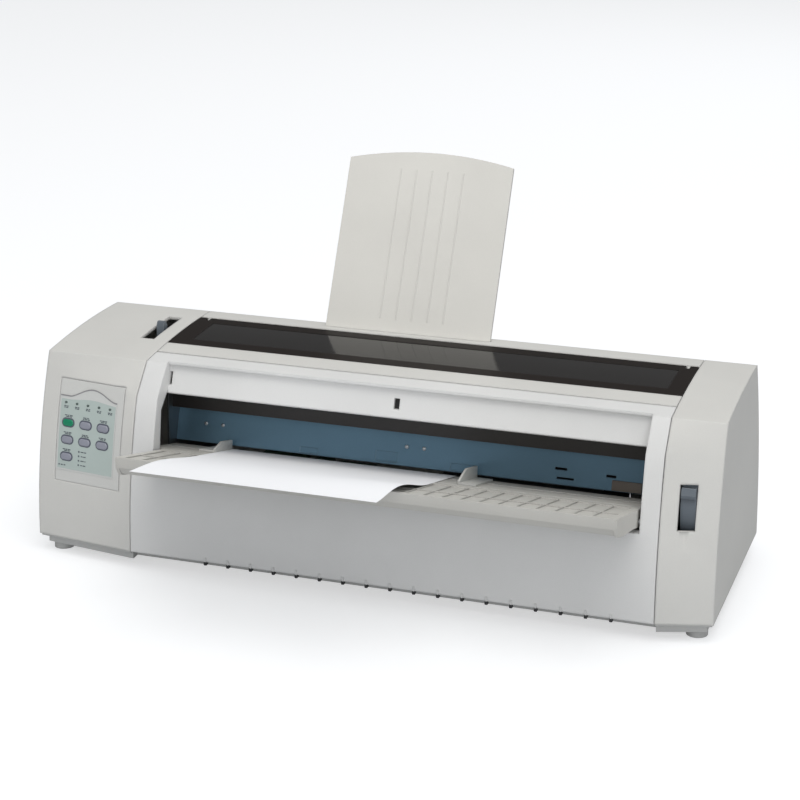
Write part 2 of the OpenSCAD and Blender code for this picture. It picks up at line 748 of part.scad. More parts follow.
module platen_gear() color("ivory") place() {
    gear_at(platen_y, platen_z, platen_teeth, pinion_angle, shaft_r + 0.01);
    difference() {
        bar_x(gear_x + 5.9, gear_x + 9, platen_y, platen_z, shaft_r + 4);
        bar_x(gear_x + 5, gear_x + 10, platen_y, platen_z, shaft_r + 0.01);
    }
}
module tractor_gear() color("ivory") place()
    gear_at(tractor_y, tractor_z, platen_teeth,
            tractor_angle + 180 - mesh_off + pitch_angle / 2, shaft_r + 0.01);
module motor_pinion() color("goldenrod") place() {
    gear_at(pinion_y, pinion_z, pinion_teeth, pinion_angle + 180 + 180 / pinion_teeth, 2.5);
    bar_x(frame_r - 12, gear_x + 6, pinion_y, pinion_z, 2.5);
}
module feed_motor() color("dimgray") place()
    difference() {
        union() {
            bar_x(frame_r - 30, frame_r - 0.02, pinion_y, pinion_z, 18);
            bar_x(frame_r - 1, frame_r + frame_t, pinion_y, pinion_z, motor_boss_r);
        }
        bar_x(frame_r - 14, frame_r + 5, pinion_y, pinion_z, 2.5 + run);
    }

// ---- tractors ----

tractor_half = 8;
tractor_xs = [-112, 96];
tractor_low = -26;
tractor_high = 20;
door_t = 2.5;
door_pin_r = 1.5;

module tractor_shaft() color("silver") place() {
    bar_x(frame_l - 6, gear_x + 8, tractor_y, tractor_z, shaft_r);
    translate([frame_l + 12, tractor_y, tractor_z]) rotate([0, 90, 0])
        cylinder(r = 7, h = frame_r - frame_l - 24, $fn = 4);
}
module tractor_rod() color("silver") place()
    bar_x(frame_l, frame_r + frame_t, tractor_y, tractor_rod_z, tractor_rod_r);

// A tractor body at x; its door's hinge is on the side given by out
module tractor(x, out) difference() {
    union() {
        along_x(x - tractor_half, x + tractor_half)
            translate([tractor_y - 22, tractor_z + tractor_low])
                square([40, tractor_high - tractor_low]);
        for (y = [tractor_y - 20, tractor_y + 12])
            translate([x + out * (tractor_half - 2.5), y, tractor_z + tractor_high + 1])
                rotate([-90, 0, 0]) cylinder(r = 2.5, h = 4);
        for (y = [-14, -2, 10])
            translate([x - out * 3, tractor_y + y - 2, tractor_z + tractor_high - 1])
                cylinder(r = 1.6, h = 2.6);
    }
    bar_x(x - 12, x + 12, tractor_y, tractor_z, 7.4);
    bar_x(x - 12, x + 12, tractor_y, tractor_rod_z, tractor_rod_r + run);
    translate([x + out * (tractor_half - 2.5), tractor_y - 25, tractor_z + tractor_high + 1])
        rotate([-90, 0, 0]) cylinder(r = door_pin_r + run, h = 45);
    // Groove for the door's barrel
    translate([x + out * (tractor_half - 2.5), tractor_y - 16, tractor_z + tractor_high + 1])
        rotate([-90, 0, 0]) cylinder(r = 2.8, h = 28);
}

module tractor_door(x, out) {
    hinge_x = x + out * (tractor_half - 2.5);
    top = tractor_z + tractor_high;
    difference() {
        union() {
            block([min(hinge_x, x - out * tractor_half), tractor_y - 20.7, top + 2],
                  [max(hinge_x, x - out * tractor_half), tractor_y + 18, top + 2 + door_t]);
            translate([hinge_x, tractor_y - 15.6, top + 1]) rotate([-90, 0, 0])
                cylinder(r = 2.5, h = 27.2);
        }
        for (y = [-22.1, 11.6])
            block([hinge_x - 3, tractor_y + y, top], [hinge_x + 3, tractor_y + y + 6.5, top + 6]);
        for (y = [-14, -2, 10])
            translate([x - out * 3, tractor_y + y - 2, top - 1]) cylinder(r = 2.6, h = 8);
    }
    translate([hinge_x, tractor_y - 21, top + 1]) rotate([-90, 0, 0])
        cylinder(r = door_pin_r, h = 38);
}

module left_tractor() color("darkslategray") place() tractor(tractor_xs[0], -1);
module right_tractor() color("darkslategray") place() tractor(tractor_xs[1], 1);
module left_tractor_door() color("slategray") place() tractor_door(tractor_xs[0], -1);
module right_tractor_door() color("slategray") place() tractor_door(tractor_xs[1], 1);

// ---- carriage ----

carriage_x = frame_l + 63;
carriage_half = 30;
idler_x = frame_l + 17;
drive_x = frame_r - 17;
belt_t = 1.2;

module carriage_rod() color("silver") place()
    bar_x(frame_l, frame_r + frame_t, rod_y, rod_z, rod_r);
module carriage() color("black") place()
    difference() {
        union() {
            block([carriage_x - carriage_half, rod_y - 10, rod_z - 12],
                  [carriage_x + carriage_half, rod_y + 14, rod_z + 12]);
            block([carriage_x - 12, rod_y + 13, rod_z - 3.5],
                  [carriage_x + 12, belt_y - pulley_r - belt_t - 0.5, rod_z + 4]);
        }
        bar_x(carriage_x - 40, carriage_x + 40, rod_y, rod_z, rod_r + run);
    }
module print_head() color("silver") place() {
    for (i = [0 : 4])
        block([carriage_x - 12, rod_y + 14, rod_z - 6 - i * 3], [carriage_x + 12, rod_y + 26, rod_z - 4 - i * 3]);
    block([carriage_x - 9, rod_y + 14, platen_z + platen_r + 4], [carriage_x + 9, rod_y + 24, rod_z - 4]);
    block([carriage_x - 3, rod_y + 17, platen_z + platen_r + 1.2],
          [carriage_x + 3, rod_y + 23, platen_z + platen_r + 5]);
}
module ribbon_cartridge() color("black") place() {
    block([carriage_x - 55, rod_y - 14, rod_z + 12], [carriage_x + 55, rod_y + 36, rod_z + 23]);
    translate([carriage_x + 34, rod_y + 8, rod_z + 22]) cylinder(r = 9, h = 4);
}
module carriage_motor() color("dimgray") place()
    difference() {
        union() {
            translate([drive_x, belt_y, rod_z - 38]) cylinder(r = 14, h = 28);
            translate([drive_x, belt_y, rod_z - 11]) cylinder(r = motor_boss_r - 0.02, h = 3);
        }
        translate([drive_x, belt_y, rod_z - 24]) cylinder(r = pin_r + run, h = 20);
    }

// A belt pulley between the belt's two runs
module pulley(x, bore) difference() {
    union() {
        translate([x, belt_y, rod_z - 4]) cylinder(r = pulley_r, h = 8);
        for (z = [-5, 4]) translate([x, belt_y, rod_z + z]) cylinder(r = pulley_r + 2.4, h = 1);
    }
    if (bore > 0) translate([x, belt_y, rod_z - 6]) cylinder(r = bore, h = 12);
}
module drive_pulley() color("gray") place() {
    pulley(drive_x, 0);
    translate([drive_x, belt_y, rod_z - 20]) cylinder(r = pin_r, h = 16);
}
module idler_pulley() color("gray") place() pulley(idler_x, pin_r + run);
module carriage_belt() color("black") place()
    translate([(idler_x + drive_x) / 2, belt_y, rod_z - 3]) linear_extrude(6)
        difference() {
            stadium(drive_x - idler_x + 2 * (pulley_r + belt_t), 2 * (pulley_r + belt_t));
            stadium(drive_x - idler_x + 2 * (pulley_r + 0.1), 2 * (pulley_r + 0.1));
        }

// ---- levers ----

module thickness_lever() color("slategray") place()
    difference() {
        union() {
            bar_x(lever_slot_x + 2, lever_slot_x + 11, lever_y, lever_z, 7.5);
            along_x(lever_slot_x + 3, lever_slot_x + 10)
                polygon([[lever_y - 5, lever_z], [lever_y + 5, lever_z],
                         [lever_y + 4, crest_z + 1], [lever_y + 1, crest_z + 5],
                         [lever_y - 2, crest_z + 5], [lever_y - 4, crest_z + 1]]);
        }
        bar_x(lever_slot_x, lever_slot_x + 14, lever_y, lever_z, 4 + run);
    }

module tractor_lever() color("slategray") place()
    translate([0, select_pivot_y, select_pivot_z]) {
        difference() {
            union() {
                bar_x(select_x + 1.5, select_x + select_w - 1.5, 0, 0, 7.5);
                along_x(select_x + 3, select_x + select_w - 3)
                    intersection() {
                        circle(r = select_reach - 2);
                        polygon([[0, 5], [-60, 46], [-60, -80], [0, -5]]);
                    }
                // Curved shutter behind the slot
                along_x(select_x + 0.6, select_x + select_w - 0.6)
                    intersection() {
                        difference() {
                            circle(r = select_reach, $fn = 120);
                            circle(r = select_reach - 3, $fn = 120);
                        }
                        polygon([[0, 0], [-60, 46], [-60, -80]]);
                    }
                // Thumb tab
                along_x(select_x + 1, select_x + select_w - 1)
                    polygon([[-select_reach + 5, 13.5], [-select_reach - 1.5, 12],
                             [-select_reach - 2, 15], [-select_reach + 1.2, 20.5],
                             [-select_reach + 8, 19]]);
            }
            bar_x(select_x - 1, select_x + select_w + 1, 0, 0, 4 + run);
        }
    }

// ---- electrics ----

board_x0 = frame_l + 14;
board_x1 = board_x0 + 165;
board_y0 = 66;
board_z = floor_z + 7;

module main_board() color("darkgreen") place() {
    block([board_x0, board_y0, board_z], [board_x1, body_d - 20, board_z + 1.6]);
    for (x = [board_x0 + 8, board_x1 - 8], y = [board_y0 + 8, body_d - 28])
        translate([x, y, floor_z]) cylinder(r = 3, h = board_z - floor_z + 0.1);
    // Interface connectors that reach the back
    for (port = ports) {
        block([port_x + port[0] + gap, body_d - 38, board_z + 1.5],
              [port_x + port[0] + port[1] - gap, body_d - wall - 2, rear_part_z + port[2]]);
        block([port_x + port[0] + gap, body_d - wall - 3, rear_part_z],
              [port_x + port[0] + port[1] - gap, body_d - 2.2, rear_part_z + port[2]]);
    }
    for (chip = [[20, 24, 30], [70, 30, 24], [110, 16, 18]])
        block([board_x0 + chip[0], board_y0 + chip[1], board_z + 1.5],
              [board_x0 + chip[0] + chip[2], board_y0 + chip[1] + chip[2], board_z + 5]);
}
module power_supply() color("silver") place()
    block([board_x1 + 48, board_y0, floor_z], [frame_r - 56, body_d - 44, floor_z + 46]);
module power_inlet() color("black") place()
    difference() {
        block([inlet_x, body_d - 30, rear_part_z], [inlet_x + 30, body_d - 1.6, rear_part_z + 24]);
        block([inlet_x + 3, body_d - 19, rear_part_z + 3], [inlet_x + 27, body_d, rear_part_z + 21]);
        block([inlet_x - 1, body_d - 29, rear_part_z - 1], [inlet_x, body_d - 3, rear_part_z + 25]);
    }
module power_switch() color("black") place()
    along_x(switch_x + 0.2, switch_x + 21.8)
        translate([body_d - 8, rear_part_z + 12]) {
            circle(r = 7);
            polygon([[0, -11], [6.5, -10], [5, 0], [8.5, 10.4], [0, 11]]);
        }

module screws() color("silver") place() {
    for (y = [[rod_y, rod_z], [tractor_y, tractor_rod_z]], x = [frame_l - 2.5, frame_r + frame_t])
        bar_x(x, x + 2.5, y[0], y[1], 5);
    for (x = [board_x0 + 8, board_x1 - 8], y = [board_y0 + 8, body_d - 28])
        translate([x, y, board_z + 1.6]) cylinder(r = 3, h = 1.6);
}

// ---- operator panel ----

button_len = 11.6;
button_h = 6.4;
button_x0 = -half_w + 28.2;
button_pitch_x = 18.25;
button_pitch_z = 14.75;
button_row_z = z0 + 104.7;
lamp_x0 = -half_w + 24.6;
lamp_pitch = 11.3;
lamp_z = z0 + 121.8;

// Places a child on the panel's face, with +Z outwards
module on_panel(x, z)
    translate([x, left_front(x, z), z]) rotate([0, 0, -sweep_l]) rotate([90 - panel_tilt, 0, 0])
        children();
// The place of the nth button, counted along the rows
function button_x(n) = button_x0 + (n % 3) * button_pitch_x;
function button_z(n) = button_row_z - floor(n / 3) * button_pitch_z;

module panel_bezel() color("lightgray") place()
    difference() {
        intersection() {
            end_shell(left_w, sweep_l);
            panel_window(0.3);
        }
        for (n = [0 : 6]) on_panel(button_x(n), button_z(n))
            translate([0, 0, -8]) linear_extrude(16) stadium(button_len + 0.6, button_h + 0.6);
        for (i = [0 : 4]) on_panel(lamp_x0 + i * lamp_pitch, lamp_z)
            translate([0, 0, -8]) cylinder(r = 1.6, h = 16);
    }
module status_lights() color("seagreen") place()
    for (i = [0 : 4]) on_panel(lamp_x0 + i * lamp_pitch, lamp_z)
        translate([0, 0, -6.2]) cylinder(r = 1.45, h = 6.4);
module panel_board() color("darkgreen") place()
    on_panel(panel_x + panel_w / 2, panel_mid_z - 2)
        block([-panel_w / 2 - 0.5, -44, -9], [panel_w / 2 - 4, 42, -7.5]);
module button(n) place() on_panel(button_x(n), button_z(n)) {
    translate([0, 0, -4.5]) linear_extrude(5.7) stadium(button_len, button_h);
    translate([0, 0, -6]) cylinder(r = 1.6, h = 2);
}
module button_1() color("seagreen") button(0);
module button_2() color("thistle") button(1);
module button_3() color("thistle") button(2);
module button_4() color("thistle") button(3);
module button_5() color("thistle") button(4);
module button_6() color("thistle") button(5);
module button_7() color("thistle") button(6);

base_pan();
feet();
left_casing();
right_casing();
front_cover();
top_bridge();
rear_cover();
access_cover();
cover_window();
cover_hinge_pins();
front_hinge_pins();
manual_tray();
tray_hinge_pins();
paper_deck();
left_paper_guide();
right_paper_guide();
paper_sheet();
upper_guide_plate();
tear_bar();
left_frame();
right_frame();
thickness_lever();
platen_shaft();
platen_roller();
platen_bushes();
platen_gear();
feed_motor();
motor_pinion();
tractor_shaft();
tractor_gear();
tractor_rod();
left_tractor();
right_tractor();
left_tractor_door();
right_tractor_door();
carriage_rod();
carriage();
print_head();
ribbon_cartridge();
carriage_motor();
drive_pulley();
idler_pulley();
carriage_belt();
main_board();
power_supply();
power_inlet();
power_switch();
screws();
panel_bezel();
panel_board();
status_lights();
button_1();
button_2();
button_3();
button_4();
button_5();
button_6();
button_7();
tractor_lever();
paper_support();
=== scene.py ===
import math
import bmesh
import bpy
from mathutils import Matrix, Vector
from mathutils.bvhtree import BVHTree


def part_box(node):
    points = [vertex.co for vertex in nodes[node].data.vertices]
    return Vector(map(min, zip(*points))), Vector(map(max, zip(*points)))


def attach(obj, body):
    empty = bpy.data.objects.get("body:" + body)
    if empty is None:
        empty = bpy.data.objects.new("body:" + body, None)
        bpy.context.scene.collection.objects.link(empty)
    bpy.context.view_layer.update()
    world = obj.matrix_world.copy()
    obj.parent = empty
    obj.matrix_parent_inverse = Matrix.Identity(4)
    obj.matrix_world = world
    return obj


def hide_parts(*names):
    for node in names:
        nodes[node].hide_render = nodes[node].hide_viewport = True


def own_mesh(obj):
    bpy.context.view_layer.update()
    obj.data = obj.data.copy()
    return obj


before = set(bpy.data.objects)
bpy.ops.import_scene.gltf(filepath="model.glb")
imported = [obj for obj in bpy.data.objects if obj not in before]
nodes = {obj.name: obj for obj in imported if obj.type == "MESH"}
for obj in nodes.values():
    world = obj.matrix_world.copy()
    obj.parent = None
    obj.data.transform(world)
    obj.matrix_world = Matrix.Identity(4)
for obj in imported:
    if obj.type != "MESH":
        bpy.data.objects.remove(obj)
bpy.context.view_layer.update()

# ---- studio ----
# A white table top stands under a soft overhead lamp, with an even pale surround.
# Camera rays see plain white behind the printer, and the table keeps its shadow.


def screen(red, green, blue):
    """A colour written as screen values from 0 to 255, as the linear colour a shader takes."""
    return tuple(((c / 255 + 0.055) / 1.055) ** 2.4 for c in (red, green, blue)) + (1,)


def finish(name, rough, metal=0.0, specular=0.5):
    """A new surface finish with its plain numbers on the shader's own sockets."""
    material = bpy.data.materials.new(name)
    material.use_nodes = True
    shader = material.node_tree.nodes["Principled BSDF"]
    shader.inputs["Roughness"].default_value = rough
    shader.inputs["Metallic"].default_value = metal
    shader.inputs["Specular IOR Level"].default_value = specular
    return material, shader


def joined(material, source, target):
    """Links one node's output to another node's input."""
    material.node_tree.links.new(source, target)


def added(material, kind, **settings):
    """A new node, with each setting on its own socket or property."""
    node = material.node_tree.nodes.new(kind)
    for key, value in settings.items():
        if key in node.inputs:
            node.inputs[key].default_value = value
        else:
            setattr(node, key, value)
    return node


def ranged(material, source, low, high, start=0, end=1):
    """A value that runs from low to high while its source runs from start to end."""
    node = added(material, "ShaderNodeMapRange")
    for socket, value in (("From Min", start), ("From Max", end), ("To Min", low), ("To Max", high)):
        node.inputs[socket].default_value = value
    joined(material, source, node.inputs["Value"])
    return node.outputs[0]


def made(bm, name, material):
    """A finished mesh as an object of one material."""
    mesh = bpy.data.meshes.new(name)
    bm.to_mesh(mesh)
    bm.free()
    thing = bpy.data.objects.new(name, mesh)
    scene.collection.objects.link(thing)
    mesh.materials.append(material)
    return thing


SURROUND_LIGHT, SURROUND_SEEN, GLOSS_CUT = 0.55, 1.0, -0.36
scene = bpy.context.scene
scene.view_settings.view_transform = "Standard"
world = bpy.data.worlds.new("surround")
scene.world = world
world.use_nodes = True
surround = world.node_tree.nodes["Background"]
surround.inputs["Color"].default_value = (0.97, 0.985, 1.0, 1)
rays = added(world, "ShaderNodeLightPath")
seen = added(world, "ShaderNodeMath", operation="MAXIMUM")
joined(world, rays.outputs["Is Camera Ray"], seen.inputs[0])
joined(world, rays.outputs["Is Transmission Ray"], seen.inputs[1])
dimmed = added(world, "ShaderNodeMath", operation="MULTIPLY_ADD")
dimmed.inputs[1].default_value = GLOSS_CUT
joined(world, rays.outputs["Is Glossy Ray"], dimmed.inputs[0])
joined(world, ranged(world, seen.outputs[0], SURROUND_LIGHT, SURROUND_SEEN), dimmed.inputs[2])
joined(world, dimmed.outputs[0], surround.inputs["Strength"])

TABLE_REACH, TABLE_GLOW = 9, 0.56
table_white, table_shader = finish("table_white", 0.85)
table_shader.inputs["Base Color"].default_value = screen(188, 190, 193)
table_shader.inputs["Emission Color"].default_value = (1, 1, 1, 1)
table_rays = added(table_white, "ShaderNodeLightPath")
glow = added(table_white, "ShaderNodeMath", operation="MULTIPLY")
glow.inputs[1].default_value = TABLE_GLOW
joined(table_white, table_rays.outputs["Is Camera Ray"], glow.inputs[0])
joined(table_white, glow.outputs[0], table_shader.inputs["Emission Strength"])
bm = bmesh.new()
bmesh.ops.create_grid(bm, x_segments=1, y_segments=1, size=TABLE_REACH)
made(bm, "floor", table_white)

for lamp_name, place, aim, size, power, colour in (
    ("overhead_softbox", (0.5, -0.95, 2.9), (0, 0, 0.1), 2.4, 45, (1.0, 0.985, 0.955)),
    ("front_fill", (1.2, -3.2, 0.9), (0.1, 0, 0.1), 2.0, 24, (0.97, 0.985, 1.0)),
    ("rear_fill", (0.4, 2.6, 1.9), (0, 0, 0.1), 2.2, 12, (0.97, 0.985, 1.0)),
):
    lamp = bpy.data.lights.new(lamp_name, "AREA")
    lamp.size = size
    lamp.energy = power
    lamp.color = colour
    holder = bpy.data.objects.new(lamp_name, lamp)
    holder.location = place
    holder.rotation_euler = (Vector(aim) - Vector(place)).to_track_quat("-Z", "Y").to_euler()
    holder.visible_glossy = lamp_name != "rear_fill"
    scene.collection.objects.link(holder)

eye = Vector((0.5718, -1.6187, 0.7429))
target = Vector((-0.0149, 0.1032, 0.2656))
lens = bpy.data.cameras.new("camera")
lens.sensor_width = 36
lens.lens = 94.8
lens.shift_y = -0.1875
lens.clip_end = 40
camera = bpy.data.objects.new("camera", lens)
camera.location = eye
camera.rotation_euler = (target - eye).to_track_quat("-Z", "Y").to_euler()
scene.collection.objects.link(camera)
scene.camera = camera


# ---- moulded casings ----
# The printer's body is injection-moulded ABS in a warm pale grey, with a fine spark-eroded grain.
# Two end casings, a front cover, a bridge over the print line and a rear cover meet at narrow seams.
# The front cover tips forward on pins of its own, and four screws hold the rear cover.

NOISE_LOW, NOISE_HIGH = 0.3, 0.7
CLOUDS_PER_METRE, SPECK_SHARE, GRAIN_STRENGTH = 9, 0.6, 0.6
SMOOTHEST, ROUGHEST = 0.86, 1.16
BEND_START, BEND_FULL = 0.995, 0.86
CORNER_CLOSED, CORNER_OPEN, CORNER_REACH = 0.35, 0.95, 0.005


def scaled(material, colour, amount):
    """A colour made darker or paler by an amount."""
    node = added(material, "ShaderNodeVectorMath", operation="SCALE")
    joined(material, colour, node.inputs[0])
    joined(material, amount, node.inputs["Scale"])
    return node.outputs["Vector"]


def grained_with_painted_light(name, tone, rough, grain=0.00045, depth=0.00004, cloud=0.035, rim=0.18,
         edge=0.0009, metal=0.0, specular=0.5, stretch=(1, 1, 1), corner_shade=0.0):
    """A finish with clouded colour, a fine grain and softened edges, with a painted highlight on its
    rims and painted shade in its corners.
    """
    material, shader = finish(name, rough, metal, specular)
    place = added(material, "ShaderNodeTexCoord").outputs["Object"]
    mapping = added(material, "ShaderNodeMapping", Scale=stretch)
    broad = added(material, "ShaderNodeTexNoise", Scale=CLOUDS_PER_METRE, Detail=4, Roughness=0.55)
    fine = added(material, "ShaderNodeTexNoise", Scale=1 / grain, Detail=2, Roughness=0.6)
    joined(material, place, mapping.inputs["Vector"])
    joined(material, place, broad.inputs["Vector"])
    joined(material, mapping.outputs["Vector"], fine.inputs["Vector"])
    ramp = added(material, "ShaderNodeValToRGB")
    dark, pale = ramp.color_ramp.elements
    dark.position, pale.position = NOISE_LOW, NOISE_HIGH
    dark.color = [c * (1 - cloud) for c in tone[:3]] + [1]
    pale.color = [min(1, c * (1 + cloud)) for c in tone[:3]] + [1]
    joined(material, broad.outputs["Fac"], ramp.inputs["Fac"])
    speck = ranged(material, fine.outputs["Fac"], 1 - cloud, 1 + cloud * SPECK_SHARE,
                   NOISE_LOW, NOISE_HIGH)
    soft = added(material, "ShaderNodeBevel", samples=4, Radius=edge)
    flat = added(material, "ShaderNodeNewGeometry")
    bend = added(material, "ShaderNodeVectorMath", operation="DOT_PRODUCT")
    joined(material, soft.outputs["Normal"], bend.inputs[0])
    joined(material, flat.outputs["Normal"], bend.inputs[1])
    # Each rim is mixed towards white by the rim amount: a painted highlight along the edges.
    rim_highlight = added(material, "ShaderNodeMix", data_type="RGBA")
    rim_highlight.inputs["B"].default_value = (1, 1, 1, 1)
    on_edges = ranged(material, bend.outputs["Value"], 0, rim, BEND_START, BEND_FULL)
    joined(material, on_edges, rim_highlight.inputs["Factor"])
    joined(material, scaled(material, ramp.outputs["Color"], speck), rim_highlight.inputs["A"])
    colour = rim_highlight.outputs["Result"]
    # This darkens corners and hollows found by ambient occlusion: painted shade.
    if corner_shade:
        corner = added(material, "ShaderNodeAmbientOcclusion", samples=6, Distance=CORNER_REACH)
        corner_shade_factor = ranged(material, corner.outputs["AO"], 1 - corner_shade, 1, CORNER_CLOSED, CORNER_OPEN)
        colour = scaled(material, colour, corner_shade_factor)
    joined(material, colour, shader.inputs["Base Color"])
    handled = ranged(material, broad.outputs["Fac"], rough * SMOOTHEST, min(1, rough * ROUGHEST))
    joined(material, handled, shader.inputs["Roughness"])
    bump = added(material, "ShaderNodeBump", Strength=GRAIN_STRENGTH, Distance=depth)
    joined(material, fine.outputs["Fac"], bump.inputs["Height"])
    joined(material, soft.outputs["Normal"], bump.inputs["Normal"])
    joined(material, bump.outputs["Normal"], shader.inputs["Normal"])
    return material


def piece_from(bm, name, material, body, slot, *replaced):
    """Makes a finished mesh into a piece that rides on a body."""
    piece = made(bm, name, material)
    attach(piece, body)
    if replaced:
        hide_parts(*replaced)
    return piece


def shade(bm, turn):
    """Smooth shading that stays crisp where two faces meet at more than a few degrees."""
    for face in bm.faces:
        face.smooth = True
    for edge in bm.edges:
        edge.smooth = len(edge.link_faces) == 2 and edge.calc_face_angle(0) < math.radians(turn)


def merged(name):
    """A node's mesh with its loose triangles joined, as a new mesh."""
    bm = bmesh.new()
    bm.from_mesh(nodes[name].data)
    bmesh.ops.remove_doubles(bm, verts=bm.verts, dist=2e-6)
    bmesh.ops.dissolve_degenerate(bm, edges=bm.edges, dist=1e-6)
    return bm


def moulding(name, material, body, slot):
    """A node's own shape in its finish, with its curves shaded smooth."""
    bm = merged(name)
    shade(bm, turn=28)
    piece_from(bm, name + "_moulding", material, body, slot, name)


casing_grey = grained_with_painted_light("casing_grey", screen(209, 208, 204), rough=0.52, edge=0.0028)
# The front cover gets a paler, cooler copy of the casings' grey: painted light that lifts it out of the
# shade the tray casts on it.
front_lit_grey = grained_with_painted_light("front_cover_lit_grey", screen(219, 219, 218), rough=0.5, edge=0.0022)
for name in ("left_casing", "right_casing", "top_bridge", "rear_cover"):
    moulding(name, casing_grey, "root", "casing")
moulding("front_cover", front_lit_grey, "front_cover", "front")


# ---- smoked cover ----
# The lift-up cover over the print line is dark smoked acrylic in a dark frame.
# Its thin window lets the carriage show faintly, and it hinges on two steel pins.

smoke_frame = grained_with_painted_light("smoked_frame", screen(42, 38, 36), rough=0.42, cloud=0.05, rim=0.03,
                   depth=0.000015, specular=0.05)
smoke_clear, smoke_shader = finish("smoked_window", 0.12, specular=0.4)
smoke_shader.inputs["Transmission Weight"].default_value = 0.4
smoke_shader.inputs["IOR"].default_value = 1.49
haze_place = added(smoke_clear, "ShaderNodeTexCoord")
haze = added(smoke_clear, "ShaderNodeTexNoise", Scale=14, Detail=3)
joined(smoke_clear, haze_place.outputs["Object"], haze.inputs["Vector"])
haze_ramp = added(smoke_clear, "ShaderNodeValToRGB")
haze_ramp.color_ramp.elements[0].color = screen(34, 31, 29)
haze_ramp.color_ramp.elements[1].color = screen(42, 39, 37)
joined(smoke_clear, haze.outputs["Fac"], haze_ramp.inputs["Fac"])
joined(smoke_clear, haze_ramp.outputs["Color"], smoke_shader.inputs["Base Color"])
ripple = added(smoke_clear, "ShaderNodeBump", Strength=0.25, Distance=0.00002)
joined(smoke_clear, haze.outputs["Fac"], ripple.inputs["Height"])
joined(smoke_clear, ripple.outputs["Normal"], smoke_shader.inputs["Normal"])
moulding("access_cover", smoke_frame, "access_cover", "smoked")
moulding("cover_window", smoke_clear, "access_cover", "smoked")


# ---- manual tray ----
# The manual feed tray is one ribbed plate of pale plastic, with painted shade darkening the hollows
# between its ribs.
# It folds out of the front cover's opening on two steel pins.

# The tray's finish darkens the hollows between its ribs: painted shade.
tray_ivory = grained_with_painted_light("tray_ivory", screen(202, 200, 194), rough=0.46, corner_shade=0.45)
moulding("manual_tray", tray_ivory, "manual_tray", "front")


# ---- guide plate ----
# A leaning steel plate with blue paint guides the paper behind the opening, its colour painted lighter
# at the left and darker towards the right as painted light and shade.
# Steel rivets hold it, and a small brown stop bracket is fixed to its right end.

PLATE_LEFT, PLATE_RIGHT, LEFT_PAINTED_LIGHT, RIGHT_PAINTED_SHADE = -0.20, 0.25, 1.12, 0.66
panel_blue = grained_with_painted_light("panel_blue", screen(112, 146, 168), rough=0.36, cloud=0.05, rim=0.1,
                  grain=0.0007, depth=0.00002, metal=0.7)
# The plate's colour is scaled up at its left end and down towards its right: painted light where the
# paper's reflection falls, and painted shade towards the dark right end.
plate_place = added(panel_blue, "ShaderNodeTexCoord")
plate_across = added(panel_blue, "ShaderNodeSeparateXYZ")
joined(panel_blue, plate_place.outputs["Object"], plate_across.inputs["Vector"])
painted_light_to_shade = ranged(panel_blue, plate_across.outputs["X"], LEFT_PAINTED_LIGHT, RIGHT_PAINTED_SHADE, PLATE_LEFT, PLATE_RIGHT)
plate_colour = panel_blue.node_tree.nodes["Principled BSDF"].inputs["Base Color"]
joined(panel_blue, scaled(panel_blue, plate_colour.links[0].from_socket, painted_light_to_shade), plate_colour)
moulding("upper_guide_plate", panel_blue, "root", "panel")

PLATE_FOOT, PLATE_HEAD = Vector((0, 0.02318, 0.09285)), Vector((0, 0.03268, 0.124))
plate_rise = (PLATE_HEAD - PLATE_FOOT).normalized()
plate_out = Vector((0, -plate_rise.z, plate_rise.y))


def plate_at(x, z, lift):
    """A point on the guide plate's front face, raised off it by a lift."""
    along = (z - PLATE_FOOT.z) / plate_rise.z
    return Vector((x, 0, 0)) + PLATE_FOOT + plate_rise * along + plate_out * lift


def rounded(bm, edges, radius, segments):
    """Rounds edges off to a radius."""
    bmesh.ops.bevel(bm, geom=edges, offset=radius, segments=segments, profile=0.5,
                    affect="EDGES", material=-1, clamp_overlap=True)


RIVETS_ACROSS = (-0.174, -0.1575, 0.017, 0.033)
RIVET_ROUND, RIVET_HIGH, HEAD_FLAT = 0.0019, 0.109, 0.5
rivet_steel = grained_with_painted_light("rivet_steel", screen(206, 210, 214), rough=0.28, metal=0.8, edge=0.0001)
bm = bmesh.new()
for x in RIVETS_ACROSS:
    spot = plate_at(x, RIVET_HIGH, 0)
    head = bmesh.ops.create_uvsphere(bm, u_segments=20, v_segments=12, radius=RIVET_ROUND)["verts"]
    for vert in head:
        vert.co = spot + Vector((vert.co.x, vert.co.y * HEAD_FLAT, vert.co.z))
shade(bm, turn=60)
piece_from(bm, "plate_rivets", rivet_steel, "root", "steel")

BRACKET_X, BRACKET_Z, BRACKET_LIFT = 0.2145, 0.0975, 0.0006
BRACKET_WIDE, BRACKET_THICK, BRACKET_TALL = 0.026, 0.0016, 0.0085
bracket_brown = grained_with_painted_light("bracket_brown", screen(112, 104, 96), rough=0.45, metal=0.3, edge=0.0006)
bm = bmesh.new()
bmesh.ops.create_cube(bm, size=1)
for vert in bm.verts:
    vert.co = plate_at(BRACKET_X + vert.co.x * BRACKET_WIDE, BRACKET_Z + vert.co.z * BRACKET_TALL,
                       BRACKET_LIFT + vert.co.y * BRACKET_THICK)
bmesh.ops.recalc_face_normals(bm, faces=bm.faces)
rounded(bm, bm.edges[:], radius=0.0005, segments=3)
shade(bm, turn=30)
piece_from(bm, "plate_stop_bracket", bracket_brown, "root", "plate")


# ---- paper deck and guides ----
# The deck under the opening is pale moulded plastic, and two pale plastic guides slide across it.
# A dark plastic tear bar spans the side frames just above the guide plate.

dark_plastic = grained_with_painted_light("dark_plastic", screen(36, 33, 32), rough=0.42, cloud=0.08, rim=0.05)
guide_ivory = grained_with_painted_light("guide_ivory", screen(206, 206, 202), rough=0.42)
